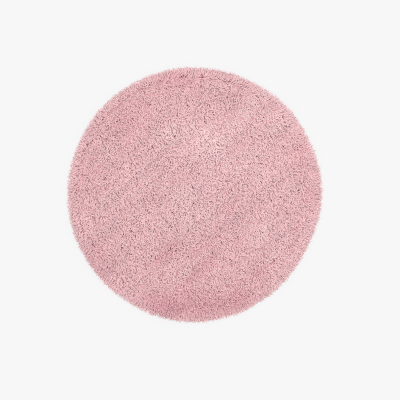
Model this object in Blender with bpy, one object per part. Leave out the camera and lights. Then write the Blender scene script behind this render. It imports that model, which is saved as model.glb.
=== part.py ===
"""A round shag rug, 1.2 m across, lying flat on a floor.

One solid: the deep pile on its base cloth is a lumpy slab with a flat underside, and
at the rim the yarn falls outwards in loose locks, in two rows. The locks of the lower
row lie level on the floor. Those of the upper row arch over the gaps between them.

Metres, +Z up. The origin is the middle of the underside.
"""

import math
import random

import bmesh
import bpy
from mathutils import Vector, noise

MM = 0.001

# Driving dimensions
REACH = 0.600  # middle to the tips of the rim locks
PILE_HEIGHT = 0.032  # floor to the top of the pile, before its lumps

# The outline is a circle but for these: each bulge or hollow fades to nothing at
# half_width on both sides of its direction, counted anticlockwise from +X.
BULGES = (
    # direction_deg, half_width_deg, outward_mm
    (8, 22, 8),
    (43, 12, 6),
    (60, 12, -4),
    (151, 12, -4),
    (222, 30, -3.5),
    (268, 26, 5),
    (327, 24, -8),
)

# Top of the pile. Yarn that leans together makes clumps with creases between them,
# on broad soft swells, and single tufts stand a little proud or low.
TOP_RINGS = 22
CLUMP_SPACING = 0.080
CLUMP_RISE = 0.016
CREST = 0.35  # of the rise: how far the middle of a clump is over the plain level
SWELL_LENGTH = 0.190
SWELL_RISE = 0.005
TUFT_RISE = 0.0035
STRAY = 0.006  # how far the points of the top stray from even rings

# The rim, from the top's edge down to the floor. Inward is counted from the lock tips.
RIM_ROWS = (
    # inward_mm, height_mm, share of the top's lumps
    (62, 31, 0.9),
    (46, 28, 0.6),
    (34, 22, 0.3),
    (27, 11, 0.0),
    (24, 0, 0.0),
)
UPPER_BAND = 2  # the upper locks grow between this row and the next
LOWER_BAND = 3
COLUMNS = 12 * TOP_RINGS  # round the rim: an upper and a lower lock in turn
COLUMN_STRAY = 0.2  # of a column's width

# Locks, as stages from root to tip. Out is a share of the lock's own reach.
UPPER_STAGES = (
    # out, height_mm of its underside, width share, thickness_mm
    (0.34, 12.0, 0.98, 9.5),
    (0.70, 8.5, 0.70, 8.0),
    (1.00, 3.0, 0.40, 4.0),
)
LOWER_STAGES = (
    # out, height_mm of its underside, width share, thickness_mm
    (0.55, 0.0, 0.82, 7.0),
    (1.00, 0.0, 0.46, 3.5),
)
LENGTH_SPREAD = 0.14
LEAN_DEG = 20.0  # neighbouring locks lean together, up to about this far
LEAN_LENGTH = 0.075
TURN_SPREAD_DEG = 4.0
DROOP_SPREAD = 0.002

YARN_SRGB = (0.867, 0.694, 0.702)
YARN_ROUGHNESS = 0.95
SHARP_DEG = 50.0  # edges that turn more than this are shaded sharp
CHANCE_SEED = 12

SIXTH_TURN = math.pi / 3
CORNER_TURN = math.pi / 2  # Blender's circles start on +Y


def clear_scene():
    for thing in list(bpy.data.objects):
        bpy.data.objects.remove(thing)


def bulge(turn):
    """How far the outline stands out past REACH in this direction."""
    outward = 0.0
    for direction_deg, half_width_deg, outward_mm in BULGES:
        off = math.degrees(turn) - direction_deg
        off = abs((off + 180) % 360 - 180)
        if off < half_width_deg:
            outward += outward_mm * MM * 0.5 * (1 + math.cos(math.pi * off / half_width_deg))
    return outward


def lumps(x, y):
    """Height of the clumps and swells over the pile's plain level."""
    near, _ = noise.voronoi(Vector((x, y, 0)) / CLUMP_SPACING)
    crease = min(near[0], 1.0)
    swell = noise.noise(Vector((x, y, 1.0)) / SWELL_LENGTH)
    return CLUMP_RISE * (CREST - crease * crease) + SWELL_RISE * swell


def on_disc(flat):
    """(share of the radius, turn) for a point of the unit hexagon: its rings become circles."""
    turn = math.atan2(flat.y, flat.x) - CORNER_TURN
    sector = math.floor(turn / SIXTH_TURN)
    within = turn - sector * SIXTH_TURN
    past = flat.length * math.sin(within) / math.sin(SIXTH_TURN)
    before = flat.length * math.sin(SIXTH_TURN - within) / math.sin(SIXTH_TURN)
    ring = before + past
    if ring < 1e-6:
        return 0.0, 0.0
    return ring, CORNER_TURN + (sector + past / ring) * SIXTH_TURN


def rim_edges(bm):
    return [edge for edge in bm.edges if edge.is_boundary]


def rim_point(turn, row):
    inward_mm, height_mm, lumpy = RIM_ROWS[row]
    out = REACH + bulge(turn) - inward_mm * MM
    x, y = out * math.cos(turn), out * math.sin(turn)
    return Vector((x, y, height_mm * MM + lumpy * lumps(x, y)))


def column_turns(rng):
    """The direction of each column's edge round the rim, a little uneven."""
    step = math.tau / COLUMNS
    return [(k + rng.uniform(-COLUMN_STRAY, COLUMN_STRAY)) * step for k in range(COLUMNS)]


def nearest_column(turn):
    return round(turn / math.tau * COLUMNS) % COLUMNS


def by_place(verts):
    """The points in the order of where they are. Blender may list them in another order each
    time, and a point has to get the same chance draw each time."""
    return sorted(verts, key=lambda vert: (round(vert.co.x, 4), round(vert.co.y, 4)))


def add_top(bm, turns, rng):
    """The top of the pile, as a disc of triangles with its lumps and tufts."""
    bmesh.ops.create_circle(bm, cap_ends=True, cap_tris=True, segments=6, radius=1.0)
    bmesh.ops.subdivide_edges(bm, edges=bm.edges[:], cuts=TOP_RINGS - 1, use_grid_fill=True)
    bmesh.ops.subdivide_edges(bm, edges=rim_edges(bm), cuts=1)
    on_rim = {vert for edge in rim_edges(bm) for vert in edge.verts}
    for vert in by_place(bm.verts):
        ring, turn = on_disc(vert.co)
        if vert in on_rim:
            vert.co = rim_point(turns[nearest_column(turn)], 0)
            continue
        out = ring * (REACH + bulge(turn) - RIM_ROWS[0][0] * MM)
        spot = Vector((out * math.cos(turn), out * math.sin(turn), 0.0))
        stray = noise.noise_vector(spot / (2 * STRAY)) * STRAY
        x, y = spot.x + stray.x, spot.y + stray.y
        tuft = rng.uniform(-TUFT_RISE, TUFT_RISE)
        vert.co = (x, y, PILE_HEIGHT + lumps(x, y) + tuft)


def add_rim(bm, turns):
    """Bands from the top's edge down to the floor. Returns the faces of each band."""
    bands = []
    for row in range(1, len(RIM_ROWS)):
        made = bmesh.ops.extrude_edge_only(bm, edges=rim_edges(bm))["geom"]
        for vert in (part for part in made if isinstance(part, bmesh.types.BMVert)):
            column = nearest_column(math.atan2(vert.co.y, vert.co.x))
            vert.co = rim_point(turns[column], row)
        bands.append([part for part in made if isinstance(part, bmesh.types.BMFace)])
    return bands


def add_underside(bm):
    """The flat underside, on the floor."""
    made = bmesh.ops.contextual_create(bm, geom=rim_edges(bm))["faces"]
    bmesh.ops.poke(bm, faces=made)


def lean(turn):
    """How far the locks lean sideways in this direction, in radians."""
    around = Vector((math.cos(turn), math.sin(turn), 0.0)) * (REACH / LEAN_LENGTH)
    return math.radians(LEAN_DEG) * noise.noise(around)


def grow_lock(bm, root, stages, rng):
    """A lock of yarn drawn out of one face of the rim, stage by stage, to its blunt end."""
    middle = root.calc_center_median()
    width = max((a.co - b.co).xy.length for a in root.verts for b in root.verts)
    facing = math.atan2(middle.y, middle.x)
    turn = facing + lean(facing) + math.radians(rng.uniform(-TURN_SPREAD_DEG, TURN_SPREAD_DEG))
    tip = REACH + bulge(facing)
    long = (tip - middle.xy.length) * (1 + rng.uniform(-LENGTH_SPREAD, LENGTH_SPREAD))
    droop = rng.uniform(-DROOP_SPREAD, DROOP_SPREAD)
    ahead = Vector((math.cos(turn), math.sin(turn), 0.0))
    side = Vector((-ahead.y, ahead.x, 0.0))
    face = root
    for out, height_mm, width_share, thickness_mm in stages:
        face = bmesh.ops.extrude_discrete_faces(bm, faces=[face])["faces"][0]
        centre = face.calc_center_median()
        under = height_mm * MM + (droop if height_mm else 0.0)
        for vert in face.verts:
            left = 1 if (vert.co - centre).dot(side) > 0 else -1
            top = vert.co.z > centre.z
            vert.co = middle + ahead * (out * long) + side * (left * width * width_share / 2)
            vert.co.z = under + (thickness_mm * MM if top else 0.0)


def column_of(root):
    """Which column of the rim a face of a band lies in."""
    middle = root.calc_center_median()
    return math.floor(math.atan2(middle.y, middle.x) / math.tau * COLUMNS)


def add_locks(bm, bands, rng):
    """An upper and a lower lock in turn, one from each column of the rim."""
    for band, stages, odd in ((UPPER_BAND, UPPER_STAGES, 1), (LOWER_BAND, LOWER_STAGES, 0)):
        for root in sorted(bands[band], key=column_of):
            if column_of(root) % 2 == odd:
                grow_lock(bm, root, stages, rng)


def yarn_material():
    material = bpy.data.materials.new("rose shag yarn")
    material.use_nodes = True
    shader = material.node_tree.nodes["Principled BSDF"]
    linear = [((c + 0.055) / 1.055) ** 2.4 for c in YARN_SRGB]
    shader.inputs["Base Color"].default_value = (*linear, 1.0)
    shader.inputs["Roughness"].default_value = YARN_ROUGHNESS
    shader.inputs["Metallic"].default_value = 0.0
    return material


def build_rug(collection):
    rng = random.Random(CHANCE_SEED)
    noise.seed_set(CHANCE_SEED)
    turns = column_turns(rng)
    bm = bmesh.new()
    add_top(bm, turns, rng)
    bands = add_rim(bm, turns)
    add_underside(bm)
    add_locks(bm, bands, rng)
    bmesh.ops.recalc_face_normals(bm, faces=bm.faces[:])
    bmesh.ops.triangulate(bm, faces=bm.faces[:])
    mesh = bpy.data.meshes.new("shag_rug")
    bm.to_mesh(mesh)
    bm.free()
    mesh.shade_smooth()
    mesh.set_sharp_from_angle(angle=math.radians(SHARP_DEG))
    mesh.materials.append(yarn_material())
    rug = bpy.data.objects.new("shag_rug", mesh)
    collection.objects.link(rug)
    return rug


clear_scene()
rug_collection = bpy.data.collections.new("Shag rug")
bpy.context.scene.collection.children.link(rug_collection)
build_rug(rug_collection)
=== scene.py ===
"""The look of a round shag rug, 1.2 m across, lying on a pale floor and seen from above.

The sections follow the rug as it is made: the base cloth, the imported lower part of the
pile, and the loose ends of its yarn. The view and the studio come first.

Metres, +Z up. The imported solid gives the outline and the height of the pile.
"""

import math

import bpy
import numpy as np
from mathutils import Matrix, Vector, noise
from mathutils.bvhtree import BVHTree


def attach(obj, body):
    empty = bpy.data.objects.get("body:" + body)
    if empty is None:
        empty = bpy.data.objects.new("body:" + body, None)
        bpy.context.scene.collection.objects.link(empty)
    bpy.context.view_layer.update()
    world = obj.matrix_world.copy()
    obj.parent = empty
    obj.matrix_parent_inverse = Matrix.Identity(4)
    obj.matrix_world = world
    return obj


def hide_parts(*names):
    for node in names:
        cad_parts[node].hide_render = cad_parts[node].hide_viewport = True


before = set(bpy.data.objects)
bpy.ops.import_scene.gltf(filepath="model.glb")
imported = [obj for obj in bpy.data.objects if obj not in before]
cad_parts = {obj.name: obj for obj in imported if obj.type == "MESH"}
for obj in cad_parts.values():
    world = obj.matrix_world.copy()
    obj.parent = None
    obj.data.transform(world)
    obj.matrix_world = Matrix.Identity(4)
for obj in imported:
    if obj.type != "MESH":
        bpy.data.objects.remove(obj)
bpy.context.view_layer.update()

# ---------------------------------------------------------------------------------------
# The view. The camera looks straight down, as in the photograph. Where the rug's origin lies
# in the picture, its mean radius there and its real radius give the camera's place.

PICTURE_PX = 400
MIDDLE_PX = (194.1, 194.4)
RADIUS_PX = 127.3
RADIUS = 0.600
LENS_MM = 85.0
SENSOR_MM = 36.0

metres_per_px = RADIUS / RADIUS_PX
view = bpy.data.cameras.new("view from above")
view.lens = LENS_MM
view.sensor_width = SENSOR_MM
view.clip_end = 100.0
camera = bpy.data.objects.new("view from above", view)
bpy.context.scene.collection.objects.link(camera)
camera.location = (
    (PICTURE_PX / 2 - MIDDLE_PX[0]) * metres_per_px,
    (MIDDLE_PX[1] - PICTURE_PX / 2) * metres_per_px,
    PICTURE_PX * metres_per_px * LENS_MM / SENSOR_MM,
)
bpy.context.scene.camera = camera
bpy.context.scene.view_settings.view_transform = "Standard"
# Each yarn is about a pixel wide. Denoising would melt them together, and a narrow pixel
# filter keeps them as crisp as in the photograph.
bpy.context.scene.cycles.use_denoising = False
bpy.context.scene.cycles.filter_width = 1.1

# ---------------------------------------------------------------------------------------
# The studio. A sweep of pale paper runs from the floor up into walls on all sides, lit so
# evenly that it shows one tone, with a trace of shade where the rug meets it. The light is
# a white dome and one large soft lamp, nearly overhead.

PAPER_HEX = "#f4f4f4"
PAPER_GLOW = 0.85  # its even light
PAPER_MATT = 0.12  # of the light on it that it scatters, which gives the trace of shade
PAPER_RADIUS = 9.0
PAPER_SIDES = 96
PAPER_CURVE = (
    # outward_m, height_m
    (0.7, 0.15),
    (0.6, 0.45),
    (0.4, 0.80),
    (0.2, 1.20),
    (0.1, 1.40),
)
SHARP_DEG = 40.0  # edges that turn more than this are shaded sharp
DOME_STRENGTH = 1.08
LAMP_WATTS = 54.0
LAMP_SIZE = 2.5
LAMP_AWAY = 4.0
LAMP_TURN_DEG = 45.0
LAMP_RISE_DEG = 80.0


def linear(hex_colour):
    """An sRGB hex colour as linear red, green, blue and a full alpha."""
    shares = [int(hex_colour[i : i + 2], 16) / 255 for i in (1, 3, 5)]
    return (*(c / 12.92 if c <= 0.04045 else ((c + 0.055) / 1.055) ** 2.4 for c in shares), 1.0)


def add_node(material, kind, inputs, **settings):
    """Adds a node. Each input gets a value, or is linked to another node's output."""
    made = material.node_tree.nodes.new(kind)
    for name, value in settings.items():
        setattr(made, name, value)
    for socket, value in inputs.items():
        if isinstance(value, bpy.types.NodeSocket):
            material.node_tree.links.new(value, made.inputs[socket])
        else:
            made.inputs[socket].default_value = value
    return made


# Matt white background paper: no gloss, and it scatters light evenly.
paper_finish = bpy.data.materials.new("matt background paper")
paper_finish.use_nodes = True
# Its glow is only a tone for the eye: it isn't sampled as a lamp.
paper_finish.cycles.emission_sampling = "NONE"
paper_finish.node_tree.nodes.clear()
glow = add_node(
    paper_finish,
    "ShaderNodeEmission",
    {"Color": linear(PAPER_HEX), "Strength": PAPER_GLOW},
)
matt = add_node(
    paper_finish,
    "ShaderNodeBsdfDiffuse",
    {"Color": (PAPER_MATT, PAPER_MATT, PAPER_MATT, 1.0)},
)
both = add_node(
    paper_finish, "ShaderNodeAddShader", {0: glow.outputs[0], 1: matt.outputs[0]}
)
add_node(paper_finish, "ShaderNodeOutputMaterial", {"Surface": both.outputs[0]})

bpy.ops.object.select_all(action="DESELECT")
bpy.ops.mesh.primitive_circle_add(vertices=PAPER_SIDES, radius=PAPER_RADIUS, fill_type="NGON")
floor = bpy.context.object
floor.name = "paper_floor"
bpy.ops.object.mode_set(mode="EDIT")
bpy.ops.mesh.select_all(action="SELECT")
bpy.ops.mesh.region_to_loop()
out = PAPER_RADIUS
for outward, rise in PAPER_CURVE:
    bpy.ops.mesh.extrude_edges_move(TRANSFORM_OT_translate={"value": (0, 0, rise)})
    wider = (out + outward) / out
    bpy.ops.transform.resize(value=(wider, wider, 1), center_override=(0, 0, 0))
    out += outward
bpy.ops.mesh.select_all(action="SELECT")
bpy.ops.mesh.normals_make_consistent(inside=True)
bpy.ops.object.mode_set(mode="OBJECT")
bpy.ops.object.shade_smooth_by_angle(angle=math.radians(SHARP_DEG))
floor.data.materials.append(paper_finish)

dome = bpy.data.worlds.new("white dome")
dome.use_nodes = True
dome.node_tree.nodes["Background"].inputs["Color"].default_value = (1.0, 1.0, 1.0, 1.0)
dome.node_tree.nodes["Background"].inputs["Strength"].default_value = DOME_STRENGTH
bpy.context.scene.world = dome

lamp = bpy.data.lights.new("soft lamp", "AREA")
lamp.shape = "DISK"
lamp.size = LAMP_SIZE
lamp.energy = LAMP_WATTS
lamp_holder = bpy.data.objects.new("soft lamp", lamp)
bpy.context.scene.collection.objects.link(lamp_holder)
lamp_turn, lamp_rise = math.radians(LAMP_TURN_DEG), math.radians(LAMP_RISE_DEG)
lamp_holder.location = LAMP_AWAY * Vector(
    (
        math.cos(lamp_rise) * math.cos(lamp_turn),
        math.cos(lamp_rise) * math.sin(lamp_turn),
        math.sin(lamp_rise),
    )
)
lamp_holder.rotation_euler = (-lamp_holder.location).to_track_quat("-Z", "Y").to_euler()

# ---------------------------------------------------------------------------------------
# The base cloth: a woven polypropylene scrim, cut to the rug's outline and coated below
# with latex, which holds the tufts. It lies flat on the floor, hidden under the pile.

MM = 0.001
CLOTH_INSET = 26 * MM  # the yarn of the rim falls this far past the cloth
CLOTH_THICKNESS = 2.2 * MM
CLOTH_GAP = 0.4 * MM  # over the floor, so that their faces don't meet
CLOTH_RINGS = 20
CLOTH_HEX = "#d8cdbd"
CLOTH_DARK_HEX = "#b9ab98"
SCRIM_THREAD = 2.6 * MM  # from thread to thread
OUTLINE_STEPS = 72  # round the rug, where its reach is read

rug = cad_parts["shag_rug"]
rug_points = np.array([point.co for point in rug.data.vertices])
rug_turns = np.arctan2(rug_points[:, 1], rug_points[:, 0])
rug_outs = np.hypot(rug_points[:, 0], rug_points[:, 1])
steps = np.linspace(-math.pi, math.pi, OUTLINE_STEPS + 1)
farthest = np.array(
    [rug_outs[(rug_turns >= a) & (rug_turns < b)].max() for a, b in zip(steps[:-1], steps[1:])]
)
# The locks of the rim are uneven, so each step's reach is averaged with its neighbours'.
smooth_share = {-2: 1 / 9, -1: 2 / 9, 0: 3 / 9, 1: 2 / 9, 2: 1 / 9}
outline = sum(np.roll(farthest, shift) * share for shift, share in smooth_share.items())


def reach(turn):
    """How far the yarn reaches from the rug's middle in each direction."""
    middles = (steps[:-1] + steps[1:]) / 2
    return np.interp(turn, middles, outline, period=math.tau)


def even_disc(name, rings, inset):
    """A disc of even triangles with the rug's outline, this far inside the yarn's reach."""
    bpy.ops.object.select_all(action="DESELECT")
    bpy.ops.mesh.primitive_circle_add(vertices=6, radius=1.0, fill_type="TRIFAN")
    disc = bpy.context.object
    disc.name = name
    bpy.ops.object.mode_set(mode="EDIT")
    bpy.ops.mesh.select_all(action="SELECT")
    bpy.ops.mesh.subdivide(number_cuts=rings - 1)
    bpy.ops.object.mode_set(mode="OBJECT")
    flat = np.array([point.co for point in disc.data.vertices])[:, :2]
    # The six-sided rings become round ones: a point keeps its place along its side.
    sixth = math.pi / 3
    turn = np.arctan2(flat[:, 1], flat[:, 0]) - math.pi / 2
    side = np.floor(turn / sixth)
    within = turn - side * sixth
    size = np.hypot(flat[:, 0], flat[:, 1]) / math.sin(sixth)
    past, before = size * np.sin(within), size * np.sin(sixth - within)
    ring = past + before
    turn = math.pi / 2 + (side + past / np.maximum(ring, 1e-9)) * sixth
    turn = (turn + math.pi) % math.tau - math.pi
    out = ring * (reach(turn) - inset)
    places = np.stack([out * np.cos(turn), out * np.sin(turn), 0 * out], 1)
    disc.data.vertices.foreach_set("co", places.astype(np.float32).ravel())
    disc.data.update()
    return disc


# Woven polypropylene under a thin coat of latex: dull, dusty beige, with the scrim's
# square weave pressed through it.
cloth_finish = bpy.data.materials.new("latex coated woven scrim")
cloth_finish.use_nodes = True
cloth_shader = cloth_finish.node_tree.nodes["Principled BSDF"]
cloth_shader.inputs["Roughness"].default_value = 0.85
cloth_shader.inputs["Specular IOR Level"].default_value = 0.3
place = add_node(cloth_finish, "ShaderNodeTexCoord", {})
# A wave texture of scale 1 has a band each pi / 10 metres.
threads = [
    add_node(
        cloth_finish,
        "ShaderNodeTexWave",
        {"Vector": place.outputs["Object"], "Scale": math.pi / 10 / SCRIM_THREAD, "Distortion": 0.4},
        bands_direction=direction,
    )
    for direction in ("X", "Y")
]
weave = add_node(
    cloth_finish,
    "ShaderNodeMath",
    {0: threads[0].outputs["Fac"], 1: threads[1].outputs["Fac"]},
    operation="MULTIPLY",
)
tint = add_node(
    cloth_finish,
    "ShaderNodeMix",
    {"Factor": weave.outputs[0], 6: linear(CLOTH_DARK_HEX), 7: linear(CLOTH_HEX)},
    data_type="RGBA",
)
pressed = add_node(
    cloth_finish,
    "ShaderNodeBump",
    {"Height": weave.outputs[0], "Strength": 0.5, "Distance": 0.4 * MM},
)
cloth_finish.node_tree.links.new(tint.outputs[2], cloth_shader.inputs["Base Color"])
cloth_finish.node_tree.links.new(pressed.outputs["Normal"], cloth_shader.inputs["Normal"])

cloth = even_disc("base_cloth", CLOTH_RINGS, CLOTH_INSET)
bpy.ops.object.mode_set(mode="EDIT")
bpy.ops.mesh.select_all(action="SELECT")
bpy.ops.transform.translate(value=(0, 0, CLOTH_GAP))
bpy.ops.mesh.extrude_region_move(TRANSFORM_OT_translate={"value": (0, 0, CLOTH_THICKNESS)})
bpy.ops.mesh.select_all(action="SELECT")
bpy.ops.mesh.normals_make_consistent(inside=False)
bpy.ops.object.mode_set(mode="OBJECT")
bpy.ops.object.shade_smooth_by_angle(angle=math.radians(SHARP_DEG))
cloth.data.materials.append(cloth_finish)
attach(cloth, "root")
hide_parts("shag_rug")

# ---------------------------------------------------------------------------------------
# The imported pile: the lower part of the tufts, pressed so close that no cloth shows
# between them. Its top follows the clumps and swells of the rug, and each tuft has a height
# of its own.

BED_RINGS = 72
BED_INSET = 24 * MM
BED_SHARE = 0.80  # of the pile's height
BED_FALL = 60 * MM  # from its edge, where its height begins to drop
BED_EDGE_RISE = 2.5 * MM  # over the cloth
BED_TUFT_RISE = 1.6 * MM
BED_PIT_DEPTH = 9 * MM  # where tufts lean apart
BED_PIT_RARITY = 9  # a higher power makes the deep pits rarer
BED_SHOULDER = 3  # a higher power keeps it full nearer to its edge
BED_SHARP_DEG = 60.0
BED_SEED = 4
STREAK_TURN_DEG = 40  # the pile is combed in streaks this way, anticlockwise from +X
PARTING_WIDTH = 8 * MM  # a gap where tufts lean apart and the deep pile shows
PARTING_STRETCH = 2.4  # its length for its width
PARTING_FROM = 0.38  # of the random field that places them: a higher share makes fewer
PARTING_FULL = 0.58  # and from here they have their full depth
PARTING_DEPTH = 18 * MM
PARTING_LAYER = 9.0  # of the random field, which differs from layer to layer
CROWN_INSET = 62 * MM  # inside this, the solid's top is the pile's own
CROWN_READS = [k * 20 * MM for k in range(-3, 4)]  # along a streak, for their mean
READ_FROM = 1.0  # over the floor
# Painted shade of the packed pile: shaded yarn, darker between the ends, darkest deep in its gaps.
BED_SHADED_YARN_HEX = "#d5a7a9"
BED_CREVICE_SHADE_HEX = "#c19092"
GAP_SHADE_HEX = "#b0747a"
GAP_SHADE_HEIGHTS = (5 * MM, 19 * MM)  # the painted shade is darkest at the floor of the gaps and ends where the crowns begin
YARN_WIDTH = 6.3 * MM

height_tree = BVHTree.FromPolygons(
    [point.co for point in rug.data.vertices], [face.vertices for face in rug.data.polygons]
)
streak_turn = math.radians(STREAK_TURN_DEG)
streak_way = np.array((math.cos(streak_turn), math.sin(streak_turn)))


def pile_top(places):
    """The height of the pile's top at each place: the mean of the solid's own along a streak,
    read by lines straight down, and at its crown's edge past that."""
    heights = np.zeros(len(places))
    for shift in CROWN_READS:
        reads = places + shift * streak_way
        outs = np.hypot(reads[:, 0], reads[:, 1])
        crown_edge = reach(np.arctan2(reads[:, 1], reads[:, 0])) - CROWN_INSET
        reads = reads * np.minimum(1, crown_edge / np.maximum(outs, MM))[:, None]
        lines = [
            height_tree.ray_cast(Vector((x, y, READ_FROM)), Vector((0, 0, -1))) for x, y in reads
        ]
        heights += np.array([hit[0].z for hit in lines])
    return heights / len(CROWN_READS)


def drift(places, length, layer):
    """A soft random field from about -1 to 1, with features of this length."""
    return np.array([noise.noise(Vector((x / length, y / length, layer))) for x, y in places])


def along_streaks(places, stretch):
    """The places turned to the streaks and drawn together along them, so that a field that is
    read there comes out this much longer than wide."""
    along = places @ streak_way
    aside = places @ (-streak_way[1], streak_way[0])
    return np.stack([along / stretch, aside], 1)


def parting(places):
    """How far the tufts part at each place, from 0 to 1."""
    field = drift(along_streaks(places, PARTING_STRETCH), PARTING_WIDTH, PARTING_LAYER)
    return np.clip((field - PARTING_FROM) / (PARTING_FULL - PARTING_FROM), 0, 1)


# Dyed polypropylene yarn seen end on, with painted shade: darker than the loose ends,
# darker still between the ends, and a darker, stronger pink deep down, for the light there
# has passed from yarn to yarn.
bed_finish = bpy.data.materials.new("packed polypropylene yarn with painted shade")
bed_finish.use_nodes = True
bed_shader = bed_finish.node_tree.nodes["Principled BSDF"]
bed_shader.inputs["Roughness"].default_value = 1.0
bed_shader.inputs["Specular IOR Level"].default_value = 0.1
place = add_node(bed_finish, "ShaderNodeTexCoord", {})
ends = add_node(
    bed_finish,
    "ShaderNodeTexVoronoi",
    {"Vector": place.outputs["Object"], "Scale": 1 / YARN_WIDTH},
)
# painted shade between the ends
tint = add_node(
    bed_finish,
    "ShaderNodeMix",
    {"Factor": ends.outputs["Distance"], 6: linear(BED_SHADED_YARN_HEX), 7: linear(BED_CREVICE_SHADE_HEX)},
    data_type="RGBA",
)
height = add_node(bed_finish, "ShaderNodeSeparateXYZ", {0: place.outputs["Object"]})
depth = add_node(
    bed_finish,
    "ShaderNodeMapRange",
    {"Value": height.outputs["Z"], "From Min": GAP_SHADE_HEIGHTS[0], "From Max": GAP_SHADE_HEIGHTS[1]},
)
# painted shade deep in the gaps, by height
tint = add_node(
    bed_finish,
    "ShaderNodeMix",
    {"Factor": depth.outputs[0], 6: linear(GAP_SHADE_HEX), 7: tint.outputs[2]},
    data_type="RGBA",
)
domed = add_node(
    bed_finish,
    "ShaderNodeBump",
    {"Height": ends.outputs["Distance"], "Strength": 0.8, "Distance": 1.5 * MM},
    invert=True,
)
bed_finish.node_tree.links.new(tint.outputs[2], bed_shader.inputs["Base Color"])
bed_finish.node_tree.links.new(domed.outputs["Normal"], bed_shader.inputs["Normal"])

rng = np.random.default_rng(BED_SEED)
bed = even_disc("packed_pile", BED_RINGS, BED_INSET)
bed_places = np.array([point.co for point in bed.data.vertices])
bed_turns = np.arctan2(bed_places[:, 1], bed_places[:, 0])
bed_outs = np.hypot(bed_places[:, 0], bed_places[:, 1])
bed_heights = pile_top(bed_places[:, :2]) * BED_SHARE
bed_heights += rng.uniform(-BED_TUFT_RISE, BED_TUFT_RISE, len(bed_places))
bed_heights -= BED_PIT_DEPTH * rng.random(len(bed_places)) ** BED_PIT_RARITY
bed_heights -= PARTING_DEPTH * parting(bed_places[:, :2])
edge_height = CLOTH_GAP + CLOTH_THICKNESS + BED_EDGE_RISE
bed_heights = np.maximum(bed_heights, edge_height)
from_edge = np.clip((reach(bed_turns) - BED_INSET - bed_outs) / BED_FALL, 0, 1)
fullness = 1 - (1 - from_edge) ** BED_SHOULDER
bed_places[:, 2] = edge_height + (bed_heights - edge_height) * fullness
bed.data.vertices.foreach_set("co", bed_places.astype(np.float32).ravel())
bed.data.update()
bpy.ops.object.mode_set(mode="EDIT")
bpy.ops.mesh.select_all(action="SELECT")
bpy.ops.mesh.region_to_loop()
bpy.ops.mesh.extrude_edges_move(TRANSFORM_OT_translate={"value": (0, 0, 0)})
bpy.ops.transform.resize(
    value=(1, 1, 0), center_override=(0, 0, CLOTH_GAP + CLOTH_THICKNESS)
)
bpy.ops.mesh.edge_face_add()
bpy.ops.mesh.poke()
bpy.ops.mesh.select_all(action="SELECT")
bpy.ops.mesh.normals_make_consistent(inside=False)
bpy.ops.object.mode_set(mode="OBJECT")
bpy.ops.object.shade_smooth_by_angle(angle=math.radians(BED_SHARP_DEG))
bed.data.materials.append(bed_finish)
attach(bed, "root")
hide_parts("shag_rug")

# ---------------------------------------------------------------------------------------
# The yarn: two-ply polypropylene, tufted through the cloth in rows and cut. Each end stands
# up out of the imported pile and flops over. At the rim the ends fall outwards, down to the
# floor. One end is modelled straight, and its copies are bent, each in its own way.

YARN_SIDES = 3
YARN_LEVELS = (
    # length_mm from the last ring, width_share
    (0.0, 0.80),
    (10.0, 1.00),
    (9.5, 1.05),
    (9.0, 0.80),
)
PITCH = 6.3 * MM  # from tuft to tuft along a row
ROW_PITCH = 0.90  # of that, from row to row
SPARE_ROWS = 3  # past the radius on each side: what misses the cloth is left out
# The first tufting covers the whole cloth, and the others fill it up towards the rim.
TUFTINGS = (
    # aside_share of the pitch, innermost_mm from the yarn's reach
    (0.00, 1000),
    (0.50, 68),
    (0.25, 34),
    (0.75, 34),
)
STRAY = 0.15  # of the pitch
LENGTH_SPREAD = 0.10
YARN_SEED = 7
CROWN_SINK = 1.0 * MM  # the bend of a mean end, below the solid's top
CROWN_SPREAD = 0.9 * MM  # from end to end

# How an end leans and bends, in degrees from upright, for its three lengths.
SLANTS = (
    # mean, spread
    (14, 8),
    (62, 12),
    (92, 16),
)
RIM_SLANTS = (
    (66, 13),
    (92, 10),
    (104, 12),
)
SLANT_MOST_DEG = 135  # no length of yarn bends down past this
HEADING_SPREADS_DEG = (35, 15, 25)  # about the clump's own, and from length to length
RIM_HEADING_SPREAD = 0.8  # of those
CLUMP_WIDTH = 32 * MM  # ends this near lean alike
CLUMP_TURNS = 0.25  # how far a clump's lean wanders from the whole pile's, in turns
CLUMP_LAYER = 3.0  # of the random field
COMBED_TO_DEG = -62  # the pile as a whole leans this way, across its streaks
RIM_FALL = 72 * MM  # inside the yarn's reach, where the ends begin to lean outwards
OUTWARD_PULL = 1.4  # at the rim, against 1 for the clump's own lean inside
RIM_ROOT = 4.5 * MM  # over the floor
RIM_LENGTHS = 1.10  # of the length inside
RIM_TRIM = 5.1 * MM  # the shears pass this far inside the reach, give or take
RIM_TRIM_SPREAD = 6.5 * MM
RIM_SHORTEST = 0.45  # of an end's length
RIM_TAPERS = (1.0, 1.0, 0.65, 0.2)  # the width that is left to its rings, worn thin
FLOOR_REST = 2.9 * MM  # the middle of a yarn that lies on the floor
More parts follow.
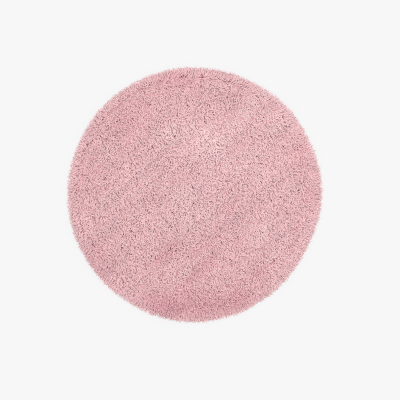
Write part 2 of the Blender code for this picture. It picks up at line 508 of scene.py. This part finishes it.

# The lay of the pile: broad patches where the ends lie a little flatter and are painted
# paler, as light, or stand a little more upright and are painted darker and deeper pink, as shade.
LAY_PATCHES = (
    # right_mm, up_mm, long_mm, wide_mm, turn_deg, paler: painted light, or painted shade below 0
    (65, 250, 110, 65, -60, 0.95),
    (220, 170, 110, 50, 50, 0.50),
    (235, 380, 140, 40, 46, 0.75),
    (-105, 290, 85, 55, 20, 0.70),
    (350, 310, 120, 60, 45, 0.60),
    (270, 245, 75, 22, 45, -0.65),
    (330, 90, 130, 80, 50, 0.35),
    (315, -170, 80, 50, 60, 0.65),
    (370, -260, 70, 45, 50, 0.45),
    (440, 25, 60, 45, 60, 0.40),
    (555, 0, 45, 55, 0, -0.70),
    (-40, -150, 90, 40, 45, 0.35),
    (-60, -370, 150, 20, 42, 0.50),
    (-50, 15, 35, 50, 80, 0.45),
    (-70, 90, 70, 50, 45, -0.40),
    (160, -70, 35, 90, 10, -0.30),
    (-120, -255, 100, 38, 45, -0.95),
    (40, -240, 85, 30, 40, -0.75),
    (20, -350, 130, 38, 42, -1.05),
    (-180, -10, 60, 45, 40, -0.40),
    (295, -355, 60, 40, 45, -0.80),
    (-140, -520, 110, 65, 0, -1.90),
    (40, -510, 75, 70, 0, -1.10),
    (200, -500, 90, 60, 10, -1.50),
    (-475, -275, 80, 45, 50, -0.60),
    (-450, -365, 150, 55, -45, -0.70),
    (-320, 345, 150, 85, 50, -0.60),
    (-490, 100, 110, 60, 80, -0.50),
    (-410, 205, 60, 35, 60, 0.55),
    (-420, -35, 50, 35, 45, 0.50),
    (-90, 540, 110, 40, 0, -0.90),
    (495, 190, 90, 45, 90, -0.50),
)
STREAK_STRETCH = 5.5  # a streak's length for its width
STREAKS = (
    # wide_mm, paler (painted light, or painted shade below 0), higher_mm
    (55, 0.9, 0.0),
    (24, 0.6, 0.8),
    (13, 0.9, 1.4),
)
STREAK_LAYER = 5.0  # of the random field, for the first
RIM_LAY = 0.4  # of the lay, with its painted light and shade, that is left at the very rim
LEAN_BY_LAY_DEG = 3  # where the lay is painted paler, the ends also lie flatter

# An end's tone goes from 0, dark, to 1, pale, and its dye from 0, strong, to 1, faint.
# Besides their own spread, both carry painted light and shade.
MEAN_TONE = 0.417
TONE_SPREAD = 0.042  # from end to end
# painted light and shade of the lay, in the tone
PAINTED_LIGHT_BY_LAY = 0.15
RIM_PAINTED_LIGHT = 0.60  # painted paler at the very rim, where the ends lie open to the light
MEAN_DYE = 0.45
# painted light and shade of the lay's broad patches, in the dye: fainter pink where paler
PAINTED_FADE_BY_LAY = 0.22
# painted light at the very rim in the dye as well: fainter pink
RIM_PAINTED_FADE = 0.36
PARTING_PAINTED_SHADE = 0.45  # painted stronger pink in the partings, as the shade down there
WARM_MIDDLE = (-80 * MM, 20 * MM)  # the dye is a little paler and warmer round here
WARM_REACH = 230 * MM
WARM_SHARE = 0.10

# The yarn's map: each cell of it is one tone and one dye.
CELLS = 16  # each way
CELL_MARGIN = 0.03  # of a cell, round what is used of it
CUT_END_MARGIN = 0.1
CUT_END_SIZE = (0.12, 0.08)  # half of its patch, round and along

PILE_RINGS = 6


def straight_end():
    """One end of yarn, modelled upright: its points, ring by ring, and its faces."""
    bpy.ops.object.select_all(action="DESELECT")
    bpy.ops.mesh.primitive_circle_add(
        vertices=YARN_SIDES, radius=YARN_WIDTH / 2 * YARN_LEVELS[0][1], fill_type="NGON"
    )
    end = bpy.context.object
    bpy.ops.object.mode_set(mode="EDIT")
    bpy.ops.mesh.select_all(action="SELECT")
    for (_, before), (length_mm, share) in zip(YARN_LEVELS, YARN_LEVELS[1:]):
        bpy.ops.mesh.extrude_region_move(
            TRANSFORM_OT_translate={"value": (0, 0, length_mm * MM)}
        )
        bpy.ops.transform.resize(value=(share / before, share / before, 1))
    bpy.ops.mesh.select_all(action="SELECT")
    bpy.ops.mesh.normals_make_consistent(inside=False)
    bpy.ops.object.mode_set(mode="OBJECT")
    points = np.array([point.co for point in end.data.vertices])
    faces = [list(face.vertices) for face in end.data.polygons]
    bpy.data.objects.remove(end)
    return points, faces


end_points, end_faces = straight_end()
end_heights = np.cumsum([length_mm * MM for length_mm, _ in YARN_LEVELS])
end_levels = np.abs(end_points[:, 2:] - end_heights).argmin(1)
end_rounds = (np.arctan2(end_points[:, 1], end_points[:, 0]) / math.tau) % 1.0


def face_places(face):
    """Where a face's corners lie round the yarn and along it, from 0 to 1 each."""
    rounds, alongs = end_rounds[face], end_levels[face] / (len(YARN_LEVELS) - 1)
    if len(face) == YARN_SIDES:  # a cut end: a small patch near the end of the map's cell
        middle = CUT_END_MARGIN + (1 - 2 * CUT_END_MARGIN) * alongs[0]
        turns = rounds * math.tau
        wide, tall = CUT_END_SIZE
        return np.stack([0.5 + wide * np.cos(turns), middle + tall * np.sin(turns)], 1)
    if np.ptp(rounds) > 0.5:  # the face that closes the round
        rounds = np.where(rounds < 0.5, rounds + 1, rounds)
    rounds = rounds - end_rounds.min()
    used = 1 - 2 * CELL_MARGIN
    return np.stack([CELL_MARGIN + used * rounds, CELL_MARGIN + used * alongs], 1)


# Rows of tufts, each a half pitch along from the last, with a little stray.
rng = np.random.default_rng(YARN_SEED)
rows = int(RADIUS / (PITCH * ROW_PITCH)) + SPARE_ROWS
columns = int(RADIUS / PITCH) + SPARE_ROWS
across, up = np.meshgrid(np.arange(-columns, columns + 1), np.arange(-rows, rows + 1))
tufted = np.stack([(across + up % 2 / 2).ravel() * PITCH, up.ravel() * PITCH * ROW_PITCH], 1)
spots = np.concatenate([tufted + (aside_share * PITCH, 0) for aside_share, _ in TUFTINGS])
spots += rng.uniform(-STRAY, STRAY, spots.shape) * PITCH
turns = np.arctan2(spots[:, 1], spots[:, 0])
inward = reach(turns) - np.hypot(spots[:, 0], spots[:, 1])
innermost = np.repeat([innermost_mm * MM for _, innermost_mm in TUFTINGS], len(tufted))
on_cloth = (inward > CLOTH_INSET) & (inward < innermost)
spots, turns, inward = spots[on_cloth], turns[on_cloth], inward[on_cloth]
count = len(spots)

lay = np.zeros(count)
for right_mm, up_mm, long_mm, wide_mm, turn_deg, paler in LAY_PATCHES:
    off = spots - np.array((right_mm, up_mm)) * MM
    patch_turn = math.radians(turn_deg)
    long_way = np.array((math.cos(patch_turn), math.sin(patch_turn)))
    along = (off[:, 0] * long_way[0] + off[:, 1] * long_way[1]) / (long_mm * MM)
    aside = (off[:, 1] * long_way[0] - off[:, 0] * long_way[1]) / (wide_mm * MM)
    lay += paler * np.exp(-(along**2) - aside**2)
# the broad patches alone, for the painted fade of the dye
broad_painted_light = lay.copy()
combed = along_streaks(spots, STREAK_STRETCH)
higher = np.zeros(count)
for layer, (wide_mm, paler, higher_mm) in enumerate(STREAKS):
    streak = drift(combed, wide_mm * MM, STREAK_LAYER + layer)
    lay += paler * streak
    higher += higher_mm * MM * streak

# How far an end has fallen outwards, and two shares that rise later, near and at the rim;
# the share at the rim gives the painted light of the rim.
fall = np.clip((RIM_FALL - inward) / (RIM_FALL - CLOTH_INSET), 0, 1)
near_rim = fall**2
rim_light_share = fall**4
lay *= 1 - (1 - RIM_LAY) * near_rim
broad_painted_light *= 1 - (1 - RIM_LAY) * near_rim
wander = math.tau * CLUMP_TURNS * drift(combed, CLUMP_WIDTH, CLUMP_LAYER)
clump = math.radians(COMBED_TO_DEG) + wander
strays = np.radians(HEADING_SPREADS_DEG) * rng.normal(0, 1, (count, 3))
first = clump + strays[:, 0]
heading = np.arctan2(
    (1 - fall) * np.sin(first) + OUTWARD_PULL * fall * np.sin(turns),
    (1 - fall) * np.cos(first) + OUTWARD_PULL * fall * np.cos(turns),
)
heading += fall * RIM_HEADING_SPREAD * strays[:, 0]
calm = 1 - fall * (1 - RIM_HEADING_SPREAD)
headings = np.stack(
    [heading, heading + calm * strays[:, 1], heading + calm * (strays[:, 1] + strays[:, 2])], 1
)
draws = rng.normal(0, 1, (count, 3))
upright = np.radians([mean + spread * draws[:, i] for i, (mean, spread) in enumerate(SLANTS)]).T
fallen = np.radians(
    [mean + spread * draws[:, i] for i, (mean, spread) in enumerate(RIM_SLANTS)]
).T
upright[:, 1:] += math.radians(LEAN_BY_LAY_DEG) * lay[:, None]
slants = upright + (fallen - upright) * fall[:, None]
slants = np.clip(slants, 0, math.radians(SLANT_MOST_DEG))
lengths = np.diff(end_heights)[None] * rng.normal(1.0, LENGTH_SPREAD, (count, 1))
lengths = lengths * (1 + (RIM_LENGTHS - 1) * fall[:, None])

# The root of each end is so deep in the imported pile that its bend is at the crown.
crown = pile_top(spots) - CROWN_SINK - YARN_WIDTH / 2
crown += higher + CROWN_SPREAD * rng.normal(0, 1, count)
parted = parting(spots) * (1 - fall)
crown -= PARTING_DEPTH * parted
root = crown - lengths[:, 0] * np.cos(slants[:, 0])
root -= np.maximum(lengths[:, 1] * np.cos(slants[:, 1]), 0)
root = np.maximum(root + (RIM_ROOT - root) * near_rim, FLOOR_REST)


def flopped(lengths):
    """The joints of each end, from its root to its tip, on the floor at the lowest."""
    joints = np.zeros((count, len(YARN_LEVELS), 3))
    joints[:, 0] = np.column_stack([spots, root])
    for k in range(len(YARN_LEVELS) - 1):
        drop = lengths[:, k] * np.cos(slants[:, k])
        height = np.maximum(joints[:, k, 2] + drop, FLOOR_REST)
        level = np.sqrt(np.maximum(lengths[:, k] ** 2 - (height - joints[:, k, 2]) ** 2, 0))
        joints[:, k + 1, 0] = joints[:, k, 0] + level * np.cos(headings[:, k])
        joints[:, k + 1, 1] = joints[:, k, 1] + level * np.sin(headings[:, k])
        joints[:, k + 1, 2] = height
    return joints


# The rim is trimmed with shears: an end that would reach past the outline is shorter.
tips = flopped(lengths)[:, 3]
tip_outs = np.hypot(tips[:, 0], tips[:, 1])
past_outline = tip_outs - reach(np.arctan2(tips[:, 1], tips[:, 0])) + RIM_TRIM
past_outline += RIM_TRIM_SPREAD * rng.normal(0, 1, count)
run = np.maximum(tip_outs - np.hypot(spots[:, 0], spots[:, 1]), MM)
kept = np.clip(1 - past_outline / run, RIM_SHORTEST, 1)
joints = flopped(lengths * kept[:, None])

# Each ring of the modelled end is set square to its copy's line.
ways = np.diff(joints, axis=1)
ways /= np.linalg.norm(ways, axis=2)[:, :, None]
heads = np.concatenate([ways[:, :1], ways[:, :-1] + ways[:, 1:], ways[:, -1:]], 1)
heads /= np.linalg.norm(heads, axis=2)[:, :, None]
spin = rng.uniform(0, math.tau, count)
side = np.stack([np.cos(spin), np.sin(spin), 0 * spin], 1)
placed = np.zeros((count, len(end_points), 3))
for k, taper in enumerate(RIM_TAPERS):
    thinned = (1 + (taper - 1) * near_rim)[:, None]
    side = side - (side * heads[:, k]).sum(1)[:, None] * heads[:, k]
    side /= np.linalg.norm(side, axis=1)[:, None]
    other = np.cross(heads[:, k], side)
    for j in np.flatnonzero(end_levels == k):
        off = side * end_points[j, 0] + other * end_points[j, 1]
        placed[:, j] = joints[:, k] + off * thinned

# Painted light and shade of the lay's patches and streaks go into the tone.
tone = MEAN_TONE + PAINTED_LIGHT_BY_LAY * lay + TONE_SPREAD * rng.normal(0, 1, count)
# painted light: paler at the very rim
tone += RIM_PAINTED_LIGHT * rim_light_share
tone_cell = np.clip(tone * CELLS, 0, CELLS - 1).astype(int)
warm = np.exp(-((spots - WARM_MIDDLE) ** 2).sum(1) / WARM_REACH**2)
# Painted light and shade go into the dye too: fainter pink on the lay's paler patches and at the
# rim, deeper on its darker ones.
dye = MEAN_DYE + PAINTED_FADE_BY_LAY * broad_painted_light + WARM_SHARE * warm + RIM_PAINTED_FADE * rim_light_share
# painted shade: deeper pink in the partings
dye -= PARTING_PAINTED_SHADE * parted
dye_cell = np.clip(dye * CELLS + rng.uniform(-0.5, 0.5, count), 0, CELLS - 1).astype(int)

# Two-ply polypropylene, heat set and cut: matt, soft pink, paler at the tips where its
# fibres bloom, with painted shade: a darker, deeper pink towards the root, down in the pile,
# and a darker slanting line in the grooves of the twist. A map holds a cell for each tone
# and dye of yarn. Round and along the yarn are the two ways across a cell.
TIP_HEX = "#ecc5c8"
ROOT_HEX = "#e4b6ba"
# painted shade: a darker, deeper pink for the root, down in the pile
ROOT_SHADE_HEX = "#b0747a"
BLOOM_FROM = 0.30  # of the end's length, where the painted shade of its root ends
BLOOM_TO = 0.80
TWIST_LENGTH = 9 * MM
GROOVE_SHARE = 0.6  # of the way up from the line between the plies that is painted darker, as shade
GROOVE_SHADE = 0.90

yarn_finish = bpy.data.materials.new("two-ply polypropylene shag yarn")
yarn_finish.use_nodes = True
yarn_shader = yarn_finish.node_tree.nodes["Principled BSDF"]
yarn_shader.inputs["Roughness"].default_value = 0.9
yarn_shader.inputs["Specular IOR Level"].default_value = 0.12
yarn_shader.inputs["Sheen Weight"].default_value = 0.12
yarn_shader.inputs["Sheen Roughness"].default_value = 0.6
yarn_shader.inputs["Sheen Tint"].default_value = linear(TIP_HEX)
yarn_map = add_node(yarn_finish, "ShaderNodeUVMap", {}, uv_map="OFBake")
cells = add_node(
    yarn_finish,
    "ShaderNodeVectorMath",
    {0: yarn_map.outputs[0], 1: (CELLS, CELLS, 0)},
    operation="MULTIPLY",
)
whole = add_node(yarn_finish, "ShaderNodeVectorMath", {0: cells.outputs[0]}, operation="FLOOR")
part = add_node(yarn_finish, "ShaderNodeVectorMath", {0: cells.outputs[0]}, operation="FRACTION")
cell = add_node(yarn_finish, "ShaderNodeSeparateXYZ", {0: whole.outputs[0]})
spot = add_node(yarn_finish, "ShaderNodeSeparateXYZ", {0: part.outputs[0]})
dyed_and_root_shaded = add_node(
    yarn_finish,
    "ShaderNodeValToRGB",
    {"Fac": spot.outputs["Y"]},
)
dyed_and_root_shaded.color_ramp.elements[0].color = linear(ROOT_SHADE_HEX)
dyed_and_root_shaded.color_ramp.elements[1].color = linear(TIP_HEX)
dyed_and_root_shaded.color_ramp.elements[1].position = BLOOM_TO
dyed_and_root_shaded.color_ramp.elements.new(BLOOM_FROM).color = linear(ROOT_HEX)
ranges = {
    # the way across the map that gives it, low, high
    "Hue": ("Y", 0.490, 0.510),
    "Saturation": ("Y", 1.34, 0.60),
    "Value": ("X", 0.78, 1.20),
}
shades = {
    name: add_node(
        yarn_finish,
        "ShaderNodeMapRange",
        {
            "Value": cell.outputs[way],
            "From Max": CELLS - 1,
            "To Min": low,
            "To Max": high,
        },
    ).outputs[0]
    for name, (way, low, high) in ranges.items()
}
shaded = add_node(
    yarn_finish, "ShaderNodeHueSaturation", {**shades, "Color": dyed_and_root_shaded.outputs[0]}
)
twists = float(end_heights[-1] / TWIST_LENGTH)
winding = add_node(
    yarn_finish,
    "ShaderNodeMath",
    {0: spot.outputs["Y"], 1: twists, 2: spot.outputs["X"]},
    operation="MULTIPLY_ADD",
)
# Two plies, so two lines of painted shade for each turn, in the grooves between them.
groove = add_node(
    yarn_finish,
    "ShaderNodeMath",
    {0: winding.outputs[0], 1: 2 * math.pi},
    operation="MULTIPLY",
)
wave = add_node(yarn_finish, "ShaderNodeMath", {0: groove.outputs[0]}, operation="SINE")
ply = add_node(yarn_finish, "ShaderNodeMath", {0: wave.outputs[0]}, operation="ABSOLUTE")
line = add_node(
    yarn_finish,
    "ShaderNodeMapRange",
    {"Value": ply.outputs[0], "From Max": GROOVE_SHARE, "To Min": GROOVE_SHADE},
)
lined = add_node(
    yarn_finish,
    "ShaderNodeVectorMath",
    {0: shaded.outputs[0], "Scale": line.outputs[0]},
    operation="SCALE",
)
plied = add_node(
    yarn_finish,
    "ShaderNodeBump",
    {"Height": ply.outputs[0], "Strength": 0.5, "Distance": 0.5 * MM},
)
yarn_finish.node_tree.links.new(lined.outputs[0], yarn_shader.inputs["Base Color"])
yarn_finish.node_tree.links.new(plied.outputs["Normal"], yarn_shader.inputs["Normal"])

corner_counts = np.array([len(face) for face in end_faces])
corner_points = np.concatenate(end_faces)
corner_places = np.concatenate([face_places(face) for face in end_faces])


def joined_ends(name, chosen):
    """One mesh of the chosen ends, with its map."""
    many = len(chosen)
    starts = np.arange(many)[:, None] * len(end_points)
    points = (corner_points[None] + starts).ravel()
    sizes = np.tile(corner_counts, many)
    mesh = bpy.data.meshes.new(name)
    mesh.vertices.add(many * len(end_points))
    mesh.vertices.foreach_set("co", placed[chosen].astype(np.float32).ravel())
    mesh.loops.add(len(points))
    mesh.loops.foreach_set("vertex_index", points.astype(np.int32))
    mesh.polygons.add(len(sizes))
    first_corners = np.concatenate([[0], np.cumsum(sizes)[:-1]])
    mesh.polygons.foreach_set("loop_start", first_corners.astype(np.int32))
    mesh.update(calc_edges=True)
    cells_at = np.stack([tone_cell[chosen], dye_cell[chosen]], 1)[:, None]
    places = (cells_at + corner_places[None]) / CELLS
    layer = mesh.uv_layers.new(name="OFBake")
    layer.data.foreach_set("uv", places.astype(np.float32).ravel())
    mesh.shade_smooth()
    piece = bpy.data.objects.new(name, mesh)
    bpy.context.scene.collection.objects.link(piece)
    mesh.materials.append(yarn_finish)
    return piece


# The pile is kept in rings of like size, which keeps each mesh handy.
outs = np.hypot(spots[:, 0], spots[:, 1])
ring_of = np.empty(count, int)
ring_of[np.argsort(outs)] = np.arange(count) * PILE_RINGS // count
for ring in range(PILE_RINGS):
    piece = joined_ends(f"pile_ring_{ring + 1}", np.flatnonzero(ring_of == ring))
    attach(piece, "root")
    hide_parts("shag_rug")
